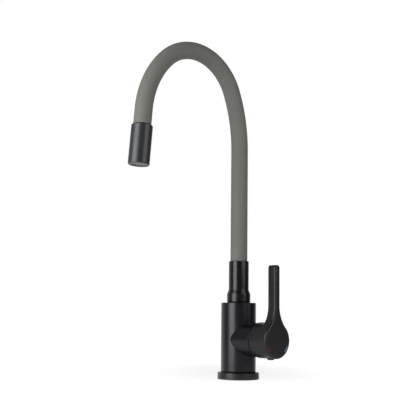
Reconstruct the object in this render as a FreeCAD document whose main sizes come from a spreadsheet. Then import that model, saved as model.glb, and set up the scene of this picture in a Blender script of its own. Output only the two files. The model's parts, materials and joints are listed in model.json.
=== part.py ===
import FreeCAD, Part
import math
import os
import re

import Sketcher
from FreeCAD import Placement, Rotation, Vector

# A single-lever kitchen tap with a flexible spout. Millimetres, +Z up, the deck at z = 0.
# The body stands on the Z axis, the lever's cartridge lies on an axis along +X, and the
# spout rises along Z and arches over towards -Y.

doc = FreeCAD.newDocument("flexible_spout_tap")
sheet = doc.addObject("Spreadsheet::Sheet", "Sizes")

SIZES = [
    ("flange_radius", 25.0, "base flange, outside"),
    ("flange_height", 8.2, "base flange, from the deck to the body"),
    ("flange_round", 0.9, "rounded edges of the flange"),
    ("foot_radius", 16.4, "foot of the body inside the flange"),
    ("foot_recess", 1.0, "underside of the foot above the deck"),
    ("fit_gap", 0.1, "radial gap of pieces that are assembled by hand"),
    ("gasket_inner", 19.0, "rubber ring under the flange, inside"),
    ("gasket_width", 3.0, "rubber ring under the flange, across"),
    ("gasket_thickness", 2.0, "rubber ring under the flange, deep"),
    ("body_radius", 21.0, "body, outside"),
    ("body_top", 91.0, "top of the body above the deck"),
    ("body_round", 0.9, "rounded upper edge of the body"),
    ("joint_gap", 1.4, "joint between the flange and the body, high"),
    ("joint_depth", 3.2, "joint between the flange and the body, deep"),
    ("joint_recess", 0.3, "rubber ring in that joint, behind the body's skin"),
    ("joint_round", 0.3, "rounded lower edge of the body"),
    ("axis_drop", 43.7, "cartridge axis below the body's top"),
    ("boss_radius", 20.0, "side boss of the body, outside"),
    ("boss_end", 35.8, "end of the side boss from the body axis"),
    ("chamber_radius", 17.75, "cartridge chamber in the boss"),
    ("chamber_floor", 5.9, "floor of the cartridge chamber from the body axis"),
    ("inlet_radius", 4.5, "threaded inlet bores in the foot"),
    ("inlet_thread", 14.0, "thread length of the inlets"),
    ("channel_radius", 3.6, "water ways from the inlets to the cartridge"),
    ("inlet_setback", 6.0, "inlets behind the body axis"),
    ("inlet_offset", 7.0, "inlets to each side"),
    ("inlet_drop", 5.0, "inlet ports below the cartridge axis"),
    ("outlet_rise", 9.5, "outlet port above the cartridge axis"),
    ("outlet_radius", 4.0, "outlet bore up to the spout"),
    ("outlet_setback", 1.5, "outlet bore behind the body axis"),
    ("port_radius", 3.2, "ports of the cartridge"),
    ("stud_radius", 3.4, "threaded hole for the fixing stud"),
    ("stud_offset", 9.0, "fixing stud in front of the body axis"),
    ("stud_depth", 15.0, "thread length of the fixing stud"),
    ("cartridge_radius", 17.5, "cartridge, outside"),
    ("cartridge_base_height", 4.5, "base plate of the cartridge"),
    ("seal_width", 1.6, "port seals, across"),
    ("seal_thickness", 1.6, "port seals, deep"),
    ("fixed_disc_radius", 14.2, "fixed ceramic disc"),
    ("disc_height", 3.5, "each ceramic disc"),
    ("moving_disc_radius", 11.8, "moving ceramic disc and its carrier"),
    ("disc_shift", 2.1, "closed place of the moving disc below the axis"),
    ("disc_recess", 6.0, "mixing recess in the moving disc"),
    ("disc_recess_depth", 2.0, "mixing recess, deep"),
    ("carrier_height", 3.9, "carrier on the moving disc"),
    ("running_gap", 0.3, "clearance of moving pieces inside the cartridge"),
    ("housing_bore", 14.5, "inside of the cartridge housing"),
    ("housing_roof", 2.0, "roof of the cartridge housing"),
    ("rotor_flange_height", 4.3, "flange of the rotor under the roof"),
    ("rotor_neck", 10.2, "neck of the rotor"),
    ("rotor_proud", 0.3, "rotor standing out of the boss"),
    ("slot_half", 8.0, "half length of the rotor's slot"),
    ("nut_recess", 0.6, "retaining nut below the end of the boss"),
    ("nut_bore", 11.0, "retaining nut, inside"),
    ("cap_wall", 2.05, "cap over the nut, wall in the mouth of the boss"),
    ("cap_recess", 0.8, "rim of the cap below the outside of the boss"),
    ("cap_height", 3.6, "cap standing out of the boss"),
    ("cap_taper", 1.9, "cap narrower at its front than at its rim"),
    ("pivot_depth", 5.9, "stem pin inside the end of the boss"),
    ("ball_radius", 2.9, "ball of the stem"),
    ("stem_neck", 1.9, "neck of the stem behind its ball"),
    ("stem_half", 4.0, "half width of the square stem"),
    ("stem_tail", 4.2, "square stem inside the pin"),
    ("stem_cover", 5.74, "handle in front of the stem"),
    ("pin_radius", 1.5, "stem pin"),
    ("pin_half", 9.0, "half length of the stem pin"),
    ("pin_fit", 0.03, "radial running fit on the stem pin"),
    ("seam_gap", 2.0, "open seam between the boss and the handle"),
    ("seam_round", 0.4, "rounded edges on both sides of that seam"),
    ("hub_radius", 20.9, "round hub of the handle"),
    ("skirt_wall", 1.0, "thin skirt of the hub over the boss"),
    ("skirt_depth", 10.5, "hollow of the hub"),
    ("socket_radius", 8.0, "round socket for the stem in the hub"),
    ("socket_recess", 5.0, "socket behind the hub's rim"),
    ("hub_length", 26.94, "hub from its rim to the handle's front face"),
    ("lever_thickness", 12.46, "lever from back to front"),
    ("lever_width", 8.2, "lever across"),
    ("lever_top", 87.55, "end of the lever above the cartridge axis"),
    ("lever_blend", 36.0, "hollow curve from the hub into the lever"),
    ("lever_corner", 3.2, "round corners at the lever's end"),
    ("lever_round", 2.4, "rounded edges of the handle's front face"),
    ("lever_back_round", 1.5, "rounded back edges of the lever"),
    ("grub_setback", 11.34, "handle screw behind the front face"),
    ("grub_radius", 2.5, "handle screw, thread"),
    ("grub_length", 8.0, "handle screw, length"),
    ("hex_radius", 1.3, "hexagon sockets, half across corners"),
    ("hex_depth", 2.5, "hexagon sockets, deep"),
    ("plug_radius", 4.0, "plug over the handle screw"),
    ("plug_length", 5.6, "plug over the handle screw, long"),
    ("plug_proud", 1.4, "plug standing out of the hub"),
    ("mark_inner", 16.3, "hot and cold marks, inner radius"),
    ("mark_outer", 17.9, "hot and cold marks, outer radius"),
    ("mark_start", 42.0, "marks begin at this angle from straight down"),
    ("mark_end", 68.0, "marks end at this angle from straight down"),
    ("mark_thickness", 0.2, "marks standing on the front face"),
    ("socket_depth", 20.0, "spout socket, deep"),
    ("spout_socket", 11.0, "spout socket in the body"),
    ("swivel_fit", 0.06, "radial running fit of the spout's spigot"),
    ("spigot_gap", 1.0, "spigot above the floor of its socket"),
    ("washer_thickness", 1.1, "slip washer under the collar"),
    ("washer_width", 2.4, "slip washer, across"),
    ("ring_drop", 10.0, "lower spout seal below the body's top"),
    ("ring_step", 5.0, "from one spout seal up to the next"),
    ("ring_section", 1.0, "spout seals, radius of the cord"),
    ("ring_groove", 8.8, "groove of the spout seals, inner radius"),
    ("catch_drop", 15.5, "retaining screw below the body's top"),
    ("catch_radius", 2.5, "retaining screw, thread"),
    ("catch_tip", 1.5, "retaining screw, plain tip"),
    ("catch_groove", 9.3, "retaining groove in the spigot, inner radius"),
    ("catch_recess", 0.8, "retaining screw below the body's skin"),
    ("collar_bulge", 14.15, "foot of the collar"),
    ("bulge_height", 9.3, "foot of the collar, high"),
    ("collar_radius", 12.1, "collar, outside"),
    ("flare_height", 5.2, "flare from the foot of the collar, high"),
    ("flare_round", 3.0, "rounded turns at both ends of the flare"),
    ("tube_height", 34.6, "straight tube of the collar, high"),
    ("collar_round", 0.4, "broken edges of the collar"),
    ("waterway", 4.5, "water way through the spigot"),
    ("tail_rise", 6.4, "floor of the collar's socket above the flare"),
    ("tail_flange", 3.0, "flange of the hose tail"),
    ("tail_thread", 6.0, "thread of the hose tail in the water way"),
    ("tail_bore", 2.4, "bore of the hose tail and the end fitting"),
    ("barb_radius", 3.45, "barbs of the hose tail and the end fitting"),
    ("barb_length", 12.0, "length of a barbed end"),
    ("barb_count", 3, "barbs on each end"),
    ("barb_depth", 0.5, "depth of a barb"),
    ("sleeve_radius", 10.3, "silicone sleeve, outside"),
    ("sleeve_bore", 6.9, "silicone sleeve, inside"),
    ("sleeve_gap", 0.25, "gap round the sleeve where it enters a socket"),
    ("gooseneck_radius", 6.6, "shape-holding conduit, outside"),
    ("gooseneck_bore", 5.5, "shape-holding conduit, inside"),
    ("hose_radius", 5.2, "water hose, outside"),
    ("hose_bore", 3.6, "water hose, inside"),
    ("rise_length", 136.5, "straight rise above the collar"),
    ("rise_radius", 184.0, "first bend, radius"),
    ("rise_turn", 22.5, "first bend, degrees"),
    ("crown_radius", 66.3, "crown of the arch, radius"),
    ("crown_turn", 110.0, "crown of the arch, degrees"),
    ("fall_radius", 102.0, "last bend, radius"),
    ("fall_turn", 42.5, "last bend, degrees"),
    ("fall_length", 17.7, "straight end above the nozzle"),
    ("nozzle_radius", 12.25, "nozzle, outside"),
    ("nozzle_length", 46.3, "nozzle, length"),
    ("nozzle_shoulder", 1.4, "chamfer at the nozzle's top"),
    ("nozzle_round", 0.6, "broken lower edge of the nozzle"),
    ("nozzle_entry", 10.0, "depth of the sleeve inside the nozzle"),
    ("fitting_flange", 4.0, "flange of the end fitting"),
    ("fitting_radius", 6.4, "tail of the end fitting"),
    ("fitting_tail", 10.0, "tail of the end fitting, length"),
    ("aerator_depth", 15.0, "aerator seat from the nozzle's lower end"),
    ("aerator_radius", 10.6, "aerator seat"),
    ("aerator_recess", 0.7, "aerator behind the nozzle's rim"),
    ("insert_radius", 8.4, "aerator insert"),
    ("insert_height", 9.0, "aerator insert, high"),
    ("insert_recess", 0.6, "aerator insert behind its housing's rim"),
    ("jet_radius", 0.8, "jets of the aerator"),
    ("jet_ring", 3.0, "step from one ring of jets to the next"),
    ("aerator_gasket_height", 1.2, "gasket above the aerator"),
]

for row, (alias, number, note) in enumerate(SIZES, 1):
    sheet.set("A%d" % row, note)
    sheet.set("B%d" % row, str(number))
    sheet.setAlias("B%d" % row, alias)
doc.recompute()

HOSE_SECTIONS = 6
JET_RINGS = 2
pieces = {}

# Heights above the deck, all counted from the body's top
handle_axis = "body_top - axis_drop"
socket_floor = "body_top - socket_depth"
spigot_end = socket_floor + " + spigot_gap"
ring_lower = "body_top - ring_drop"
ring_upper = ring_lower + " + ring_step"
catch_height = "body_top - catch_drop"
collar_foot = "body_top + washer_thickness"
bulge_top = collar_foot + " + bulge_height"
flare_top = bulge_top + " + flare_height"
collar_top = flare_top + " + tube_height"
tail_seat = flare_top + " + tail_rise"
tail_top = tail_seat + " + tail_flange"


def bound(text):
    # Every bare word is a cell of the sheet; words before a bracket are functions.
    return re.sub(r"[a-z]\w*(?!\w|\()", r"Sizes.\g<0>", text)


def length(start, end):
    return "(%s) - (%s)" % (end, start)


def cut_checked(body, before, feature):
    doc.recompute()
    if body.Shape.Volume >= before - 1e-6:
        raise RuntimeError("%s removes nothing" % feature.Label)
    return feature


def new_body(label, lift=None):
    body = doc.addObject("PartDesign::Body", label)
    body.Label = label
    pieces[label] = body
    if lift:
        body.setExpression("Placement.Base.z", bound(lift))
    return body


def new_sketch(body, role, offset="0"):
    sketch = body.newObject("Sketcher::SketchObject", body.Label + "_sketch")
    plane = next(f for f in body.Origin.OriginFeatures if f.Role == role)
    sketch.AttachmentSupport = [(plane, "")]
    sketch.MapMode = "FlatFace"
    sketch.setExpression("AttachmentOffset.Base.z", bound(offset))
    return sketch


def fix(sketch, kind, parts, guess, text):
    index = sketch.addConstraint(Sketcher.Constraint(kind, *parts, guess))
    sketch.setExpression("Constraints[%d]" % index, bound(text))


def outline(sketch, points):
    # Closed outline of straight lines; each corner is held by two bound distances.
    count = len(points)
    first = sketch.GeometryCount
    step = 2 * math.pi / count
    reach = sheet.body_radius
    guess = [Vector(2 * reach + reach * math.cos(step * i), reach * math.sin(step * i), 0) for i in range(count)]
    for i in range(count):
        sketch.addGeometry(Part.LineSegment(guess[i], guess[(i + 1) % count]), False)
    for i in range(count):
        follower = first + (i + 1) % count
        sketch.addConstraint(Sketcher.Constraint("Coincident", first + i, 2, follower, 1))
    for i, (across, along) in enumerate(points):
        fix(sketch, "DistanceX", (-1, 1, first + i, 1), guess[i].x, across)
        fix(sketch, "DistanceY", (-1, 1, first + i, 1), guess[i].y, along)


def ring(sketch, across, along, radius):
    index = sketch.addGeometry(Part.Circle(Vector(1, 1, 0), Vector(0, 0, 1), 1), False)
    fix(sketch, "Radius", (index,), 1, radius)
    fix(sketch, "DistanceX", (-1, 1, index, 3), 1, across)
    fix(sketch, "DistanceY", (-1, 1, index, 3), 1, along)


def turn(body, sketch, axis, kind="PartDesign::Revolution"):
    feature = body.newObject(kind, body.Label + "_turn")
    feature.Profile = sketch
    feature.ReferenceAxis = (sketch, [axis])
    feature.Angle = 360
    return feature


def turned_up(label, points, side="+"):
    # Turned about Z from corners given as (height, radius), drawn on the given side of the axis.
    body = new_body(label)
    sketch = new_sketch(body, "XZ_Plane")
    outline(sketch, [("0 %s (%s)" % (side, radius), height) for height, radius in points])
    turn(body, sketch, "V_Axis")
    doc.recompute()
    return body


def turned_out(label, points):
    # Turned about the cartridge axis from corners given as (distance from the body axis, radius).
    body = new_body(label, handle_axis)
    sketch = new_sketch(body, "XZ_Plane")
    outline(sketch, points)
    turn(body, sketch, "H_Axis")
    doc.recompute()
    return body


def pad(body, sketch, length):
    feature = body.newObject("PartDesign::Pad", body.Label + "_pad")
    feature.Profile = sketch
    feature.setExpression("Length", bound(length))
    doc.recompute()
    return feature


def pocket(body, sketch, length, forward=False):
    before = body.Shape.Volume
    feature = body.newObject("PartDesign::Pocket", body.Label + "_pocket")
    feature.Profile = sketch
    feature.setExpression("Length", bound(length))
    feature.Reversed = forward
    return cut_checked(body, before, feature)


def bore(body, role, offset, across, along, radius, length, forward=False):
    # A round hole from a plane at the given offset, against its normal unless forward.
    sketch = new_sketch(body, role, offset)
    ring(sketch, across, along, radius)
    return pocket(body, sketch, length, forward)


def around(radius, count, across="0", along="0"):
    # Places spread evenly on a circle about the given middle.
    step = 2 * math.pi / count
    return [("%s + %s * (%.9f)" % (across, radius, math.cos(step * i)),
             "%s + %s * (%.9f)" % (along, radius, math.sin(step * i))) for i in range(count)]


def hexagon(body, role, offset, across, along, length, forward=False):
    sketch = new_sketch(body, role, offset)
    outline(sketch, around("hex_radius", 6, across, along))
    return pocket(body, sketch, length, forward)


def soften(body, radius, wanted):
    # Rounds the edges that the test picks, found by where they lie.
    base = body.Tip
    names = ["Edge%d" % (i + 1) for i, edge in enumerate(base.Shape.Edges) if wanted(edge)]
    feature = body.newObject("PartDesign::Fillet", body.Label + "_round")
    feature.Base = (base, names)
    feature.setExpression("Radius", bound(radius))
    doc.recompute()


def at_height(level):
    return lambda edge: abs(edge.BoundBox.ZMin - level) < 1e-4 and abs(edge.BoundBox.ZMax - level) < 1e-4


def outer_ring(level, radius):
    flat = at_height(level)
    return lambda edge: flat(edge) and abs(edge.BoundBox.XMax - radius) < 1e-4


def facing_ring(place, radius):
    # A circle that faces along the cartridge axis.
    return lambda edge: (edge.BoundBox.XLength < 1e-4 and abs(edge.BoundBox.XMin - place) < 1e-4
                         and abs(edge.BoundBox.YMax - radius) < 1e-4)


# Base flange with its rubber ring

flange = turned_up("base_flange", [
    ("0", "foot_radius + fit_gap"),
    ("0", "flange_radius"),
    ("flange_height", "flange_radius"),
    ("flange_height", "foot_radius + fit_gap"),
])
soften(flange, "flange_round", lambda edge: abs(edge.BoundBox.XMax - sheet.flange_radius) < 1e-4
       and abs(edge.BoundBox.ZLength) < 1e-4)
groove_sketch = new_sketch(flange, "XY_Plane")
ring(groove_sketch, "0", "0", "gasket_inner - fit_gap")
ring(groove_sketch, "0", "0", "gasket_inner + gasket_width + fit_gap")
pocket(flange, groove_sketch, "gasket_thickness", forward=True)

turned_up("base_gasket", [
    ("0", "gasket_inner"),
    ("0", "gasket_inner + gasket_width"),
    ("gasket_thickness", "gasket_inner + gasket_width"),
    ("gasket_thickness", "gasket_inner"),
])

# Body with its side boss, spout socket, cartridge chamber and water ways

casting = turned_up("body_casting", [
    ("foot_recess", "0"),
    ("foot_recess", "foot_radius"),
    ("flange_height", "foot_radius"),
    ("flange_height", "body_radius - joint_depth"),
    ("flange_height + joint_gap", "body_radius - joint_depth"),
    ("flange_height + joint_gap", "body_radius"),
    ("body_top", "body_radius"),
    ("body_top", "spout_socket"),
    (socket_floor, "spout_socket"),
    (socket_floor, "0"),
], "-")
soften(casting, "body_round", outer_ring(sheet.body_top, sheet.body_radius))
soften(casting, "joint_round", outer_ring(sheet.flange_height + sheet.joint_gap, sheet.body_radius))
boss_sketch = new_sketch(casting, "YZ_Plane")
ring(boss_sketch, "0", handle_axis, "boss_radius")
pad(casting, boss_sketch, "boss_end")
soften(casting, "seam_round", facing_ring(sheet.boss_end, sheet.boss_radius))
bore(casting, "YZ_Plane", "boss_end", "0", handle_axis, "chamber_radius", "boss_end - chamber_floor")
for side in ("inlet_offset", "-inlet_offset"):
    bore(casting, "XY_Plane", "foot_recess", "-inlet_setback", side, "inlet_radius",
         "inlet_thread", forward=True)
    bore(casting, "XY_Plane", "foot_recess", "-inlet_setback", side, "channel_radius",
         handle_axis + " - inlet_drop + channel_radius - foot_recess", forward=True)
    bore(casting, "YZ_Plane", "chamber_floor", side, handle_axis + " - inlet_drop", "port_radius",
         "chamber_floor + inlet_setback")
outlet_height = handle_axis + " + outlet_rise"
bore(casting, "XY_Plane", socket_floor, "-outlet_setback", "0", "outlet_radius",
     length(outlet_height + " - outlet_radius", socket_floor))
bore(casting, "YZ_Plane", "chamber_floor", "0", outlet_height, "port_radius",
     "chamber_floor + outlet_setback")
bore(casting, "XY_Plane", "foot_recess", "stud_offset", "0", "stud_radius", "stud_depth", forward=True)
bore(casting, "XZ_Plane", "-body_radius", "0", catch_height, "catch_radius + fit_gap",
     "body_radius - spout_socket / 2", forward=True)

# Rubber ring in the joint between the flange and the body

turned_up("joint_ring", [
    ("flange_height", "body_radius - joint_depth + fit_gap"),
    ("flange_height", "body_radius - joint_recess"),
    ("flange_height + joint_gap", "body_radius - joint_recess"),
    ("flange_height + joint_gap", "body_radius - joint_depth + fit_gap"),
])

# Retaining screw at the back of the body, its tip in the spigot's groove

screw = new_body("spout_retaining_screw")
screw_sketch = new_sketch(screw, "XZ_Plane", "-spout_socket - fit_gap")
ring(screw_sketch, "0", catch_height, "catch_radius")
screw_pad = pad(screw, screw_sketch, "body_radius - catch_recess - spout_socket - fit_gap")
screw_pad.Reversed = True
tip_sketch = new_sketch(screw, "XZ_Plane", "-spout_socket - fit_gap")
ring(tip_sketch, "0", catch_height, "catch_tip")
pad(screw, tip_sketch, "spout_socket + fit_gap - catch_groove - running_gap")
hexagon(screw, "XZ_Plane", "catch_recess - body_radius", "0", catch_height, "hex_depth", forward=True)

# Places along the cartridge axis, from the floor of the chamber to the front of the handle

base_top = "chamber_floor + cartridge_base_height"
fixed_top = base_top + " + disc_height"
moving_top = fixed_top + " + disc_height"
carrier_top = moving_top + " + carrier_height"
ball_place = moving_top + " + running_gap + ball_radius"
rotor_start = carrier_top + " + running_gap"
rotor_step = rotor_start + " + rotor_flange_height"
rotor_top = "boss_end + rotor_proud"
roof_start = rotor_step + " + running_gap"
roof_top = roof_start + " + housing_roof"
nut_top = "boss_end - nut_recess"
pivot = "boss_end - pivot_depth"
stem_start = pivot + " - stem_tail"
hub_start = "boss_end + seam_gap"
handle_front = hub_start + " + hub_length"
lever_back = handle_front + " - lever_thickness"
stem_end = handle_front + " - stem_cover"
grub_place = handle_front + " - grub_setback"
HANDLE_FRONT = sheet.boss_end + sheet.seam_gap + sheet.hub_length
LEVER_BACK = HANDLE_FRONT - sheet.lever_thickness
HANDLE_AXIS = sheet.body_top - sheet.axis_drop


# Cartridge: base with port seals, ceramic discs, carrier, rotor, housing, nut and cap

PORTS = [("inlet_offset", "-inlet_drop"), ("-inlet_offset", "-inlet_drop"), ("0", "outlet_rise")]
plate = turned_out("cartridge_base", [
    ("chamber_floor", "0"),
    ("chamber_floor", "cartridge_radius"),
    (base_top, "cartridge_radius"),
    (base_top, "0"),
])
for across, along in PORTS:
    bore(plate, "YZ_Plane", "chamber_floor", across, along, "port_radius + seal_width",
         "seal_thickness", forward=True)
    bore(plate, "YZ_Plane", "chamber_floor", across, along, "port_radius",
         "cartridge_base_height", forward=True)

seals = []
for number, (across, along) in enumerate(PORTS, 1):
    seal = doc.addObject("Part::Cylinder", "port_seal_%d" % number)
    hole = doc.addObject("Part::Cylinder", "port_seal_hole_%d" % number)
    for solid, radius in ((seal, "port_radius + seal_width - fit_gap"), (hole, "port_radius")):
        solid.setExpression("Radius", bound(radius))
        solid.setExpression("Height", bound("seal_thickness"))
        solid.Placement = Placement(Vector(), Rotation(Vector(0, 1, 0), 90))
        solid.setExpression("Placement.Base.x", bound("chamber_floor"))
        solid.setExpression("Placement.Base.y", bound(across))
        solid.setExpression("Placement.Base.z", bound(handle_axis + " + " + along))
    seal_ring = doc.addObject("Part::Cut", "port_seal_ring_%d" % number)
    seal_ring.Base = seal
    seal_ring.Tool = hole
    seals.append(seal_ring)
seal_group = doc.addObject("Part::Compound", "cartridge_seals")
seal_group.Links = seals
pieces["cartridge_seals"] = seal_group

fixed_disc = turned_out("fixed_ceramic_disc", [
    (base_top, "0"),
    (base_top, "fixed_disc_radius"),
    (fixed_top, "fixed_disc_radius"),
    (fixed_top, "0"),
])
for across, along in PORTS:
    bore(fixed_disc, "YZ_Plane", base_top, across, along, "port_radius", "disc_height", forward=True)

# The moving disc and its carrier lie below the axis while the tap is closed.
moving_disc = new_body("moving_ceramic_disc", handle_axis + " - disc_shift")
moving_sketch = new_sketch(moving_disc, "YZ_Plane", fixed_top)
ring(moving_sketch, "0", "0", "moving_disc_radius")
pad(moving_disc, moving_sketch, "disc_height")
bore(moving_disc, "YZ_Plane", fixed_top, "0", "0", "disc_recess", "disc_recess_depth", forward=True)

carrier = new_body("disc_carrier", handle_axis + " - disc_shift")
carrier_sketch = new_sketch(carrier, "YZ_Plane", moving_top)
ring(carrier_sketch, "0", "0", "moving_disc_radius")
pad(carrier, carrier_sketch, "carrier_height")
bore(carrier, "YZ_Plane", moving_top, "0", "disc_shift", "ball_radius + running_gap",
     "carrier_height", forward=True)

rotor = turned_out("cartridge_rotor", [
    (rotor_start, "0"),
    (rotor_start, "housing_bore - running_gap"),
    (rotor_step, "housing_bore - running_gap"),
    (rotor_step, "rotor_neck"),
    (rotor_top, "rotor_neck"),
    (rotor_top, "0"),
])
slot_sketch = new_sketch(rotor, "YZ_Plane", rotor_start)
slot_side = "(stem_half + running_gap)"
outline(slot_sketch, [("-" + slot_side, "-slot_half"), (slot_side, "-slot_half"),
                      (slot_side, "slot_half"), ("-" + slot_side, "slot_half")])
pocket(rotor, slot_sketch, length(rotor_start, rotor_top), forward=True)
bore(rotor, "XZ_Plane", "-pin_half", pivot, "0", "pin_radius", "2 * pin_half", forward=True)

pin = new_body("stem_pin", handle_axis)
pin_sketch = new_sketch(pin, "XZ_Plane", "-pin_half")
ring(pin_sketch, pivot, "0", "pin_radius")
pad(pin, pin_sketch, "2 * pin_half")

turned_out("cartridge_housing", [
    (base_top, "housing_bore"),
    (base_top, "cartridge_radius"),
    (roof_top, "cartridge_radius"),
    (roof_top, "rotor_neck + running_gap"),
    (roof_start, "rotor_neck + running_gap"),
    (roof_start, "housing_bore"),
])

turned_out("cartridge_nut", [
    (roof_top, "nut_bore"),
    (roof_top, "chamber_radius - fit_gap"),
    (nut_top, "chamber_radius - fit_gap"),
    (nut_top, "nut_bore"),
])

# The cap snaps into the mouth of the boss, and closes the seam under the hub's skirt.
turned_out("cartridge_cap", [
    (nut_top, "chamber_radius - fit_gap - cap_wall"),
    (nut_top, "chamber_radius - fit_gap"),
    ("boss_end", "chamber_radius - fit_gap"),
    ("boss_end", "boss_radius - cap_recess"),
    ("boss_end + cap_height", "boss_radius - cap_recess - cap_taper"),
    ("boss_end + cap_height", "chamber_radius - fit_gap - cap_wall"),
])

# Stem with its ball in the carrier, a square shank on the pin and in the handle

stem = turned_out("cartridge_stem", [
    (ball_place, "0"),
    (ball_place, "stem_neck"),
    (stem_start, "stem_neck"),
    (stem_start, "stem_half"),
    (stem_end, "stem_half"),
    (stem_end, "0"),
])
shank_sketch = new_sketch(stem, "YZ_Plane", stem_start)
outline(shank_sketch, [("-stem_half", "-stem_half"), ("stem_half", "-stem_half"),
                       ("stem_half", "stem_half"), ("-stem_half", "stem_half")])
pad(stem, shank_sketch, length(stem_start, stem_end))
ball = stem.newObject("PartDesign::AdditiveSphere", "stem_ball")
ball.setExpression("Radius", bound("ball_radius"))
ball.setExpression("AttachmentOffset.Base.x", bound(ball_place))
plane_xy = next(f for f in stem.Origin.OriginFeatures if f.Role == "XY_Plane")
ball.AttachmentSupport = [(plane_xy, "")]
ball.MapMode = "FlatFace"
doc.recompute()
bore(stem, "XZ_Plane", "-2 * stem_half", pivot, "0", "pin_radius + pin_fit",
     "4 * stem_half", forward=True)

# Handle: round hub with a thin skirt, drawn up into a straight lever

handle = new_body("handle_lever", handle_axis)
hub_sketch = new_sketch(handle, "YZ_Plane", hub_start)
ring(hub_sketch, "0", "0", "hub_radius")
pad(handle, hub_sketch, length(hub_start, lever_back))
soften(handle, "seam_round", facing_ring(sheet.boss_end + sheet.seam_gap, sheet.hub_radius))


def lever_outline(sketch):
    # Straight sides, two round corners and two hollow curves that meet the hub's circle.
    half = sheet.lever_width / 2
    corner = sheet.lever_corner
    top = sheet.lever_top
    hub = sheet.hub_radius
    blend = sheet.lever_blend
    foot = math.sqrt((hub + blend) ** 2 - (half + blend) ** 2)
    meet = math.atan2(foot, half + blend)
    up = Vector(0, 0, 1)

    def arc(across, along, radius, start, end):
        return Part.ArcOfCircle(Part.Circle(Vector(across, along, 0), up, radius), start, end)

    shapes = [
        Part.LineSegment(Vector(half, foot, 0), Vector(half, top - corner, 0)),
        arc(half - corner, top - corner, corner, 0, math.pi / 2),
        Part.LineSegment(Vector(half - corner, top, 0), Vector(corner - half, top, 0)),
        arc(corner - half, top - corner, corner, math.pi / 2, math.pi),
        Part.LineSegment(Vector(-half, top - corner, 0), Vector(-half, foot, 0)),
        arc(-half - blend, foot, blend, -meet, 0),
        arc(0, 0, hub, math.pi - meet, 2 * math.pi + meet),
        arc(half + blend, foot, blend, math.pi, math.pi + meet),
    ]
    for shape in shapes:
        sketch.addGeometry(shape, False)
    # Each pair is (element, end): the end of one element runs smoothly into the next.
    joins = [(0, 2, 1, 1), (1, 2, 2, 1), (2, 2, 3, 1), (3, 2, 4, 1),
             (4, 2, 5, 2), (5, 1, 6, 1), (6, 2, 7, 2), (7, 1, 0, 1)]
    for join in joins:
        sketch.addConstraint(Sketcher.Constraint("Tangent", *join))
    for element in (0, 4):
        sketch.addConstraint(Sketcher.Constraint("Vertical", element))
    sketch.addConstraint(Sketcher.Constraint("Horizontal", 2))
    fix(sketch, "Radius", (6,), hub, "hub_radius")
    fix(sketch, "Radius", (1,), corner, "lever_corner")
    fix(sketch, "Radius", (3,), corner, "lever_corner")
    fix(sketch, "Radius", (5,), blend, "lever_blend")
    fix(sketch, "Radius", (7,), blend, "lever_blend")
    fix(sketch, "DistanceX", (-1, 1, 6, 3), 0, "0")
    fix(sketch, "DistanceY", (-1, 1, 6, 3), 0, "0")
    fix(sketch, "DistanceX", (-1, 1, 0, 1), half, "lever_width / 2")
    fix(sketch, "DistanceX", (-1, 1, 4, 1), -half, "-lever_width / 2")
    fix(sketch, "DistanceY", (-1, 1, 2, 1), top, "lever_top")


lever_sketch = new_sketch(handle, "YZ_Plane", lever_back)
lever_outline(lever_sketch)
pad(handle, lever_sketch, "lever_thickness")


def front_edge(edge):
    box = edge.BoundBox
    return abs(box.XMin - HANDLE_FRONT) < 1e-4 and box.XLength < 1e-4


def back_edge(edge):
    # The lever's back edges above the hub.
    box = edge.BoundBox
    back = abs(box.XMin - LEVER_BACK) < 1e-4 and box.XLength < 1e-4
    return back and box.ZMin > 0 and box.ZMax > sheet.hub_radius + 1e-3


soften(handle, "lever_back_round", back_edge)
soften(handle, "lever_round", front_edge)
cavity_sketch = new_sketch(handle, "XZ_Plane")
outline(cavity_sketch, [
    (hub_start, "0"),
    (hub_start, "hub_radius - skirt_wall"),
    (hub_start + " + skirt_depth", "hub_radius - skirt_wall"),
    (hub_start + " + skirt_depth", "socket_radius"),
    (hub_start + " + socket_recess", "socket_radius"),
    (hub_start + " + socket_recess", "0"),
])
solid_before = handle.Shape.Volume
cavity = turn(handle, cavity_sketch, "H_Axis", "PartDesign::Groove")
cut_checked(handle, solid_before, cavity)
socket_sketch = new_sketch(handle, "YZ_Plane", hub_start)
socket_half = "(stem_half + fit_gap)"
outline(socket_sketch, [("-" + socket_half, "-" + socket_half), (socket_half, "-" + socket_half),
                        (socket_half, socket_half), ("-" + socket_half, socket_half)])
pocket(handle, socket_sketch, length(hub_start, stem_end) + " + fit_gap", forward=True)
bore(handle, "XY_Plane", "-hub_radius", grub_place, "0", "plug_radius + fit_gap",
     "plug_length - plug_proud", forward=True)
bore(handle, "XY_Plane", "-hub_radius", grub_place, "0", "grub_radius + fit_gap",
     "hub_radius - stem_half", forward=True)

grub = new_body("handle_grub_screw", handle_axis)
grub_sketch = new_sketch(grub, "XY_Plane", "-stem_half - grub_length")
ring(grub_sketch, grub_place, "0", "grub_radius")
pad(grub, grub_sketch, "grub_length")
hexagon(grub, "XY_Plane", "-stem_half - grub_length", grub_place, "0", "hex_depth", forward=True)

plug = new_body("screw_plug", handle_axis)
plug_sketch = new_sketch(plug, "XY_Plane", "-hub_radius - plug_proud")
ring(plug_sketch, grub_place, "0", "plug_radius")
pad(plug, plug_sketch, "plug_length")
soften(plug, "plug_proud / 2", at_height(-sheet.hub_radius - sheet.plug_proud))


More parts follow.
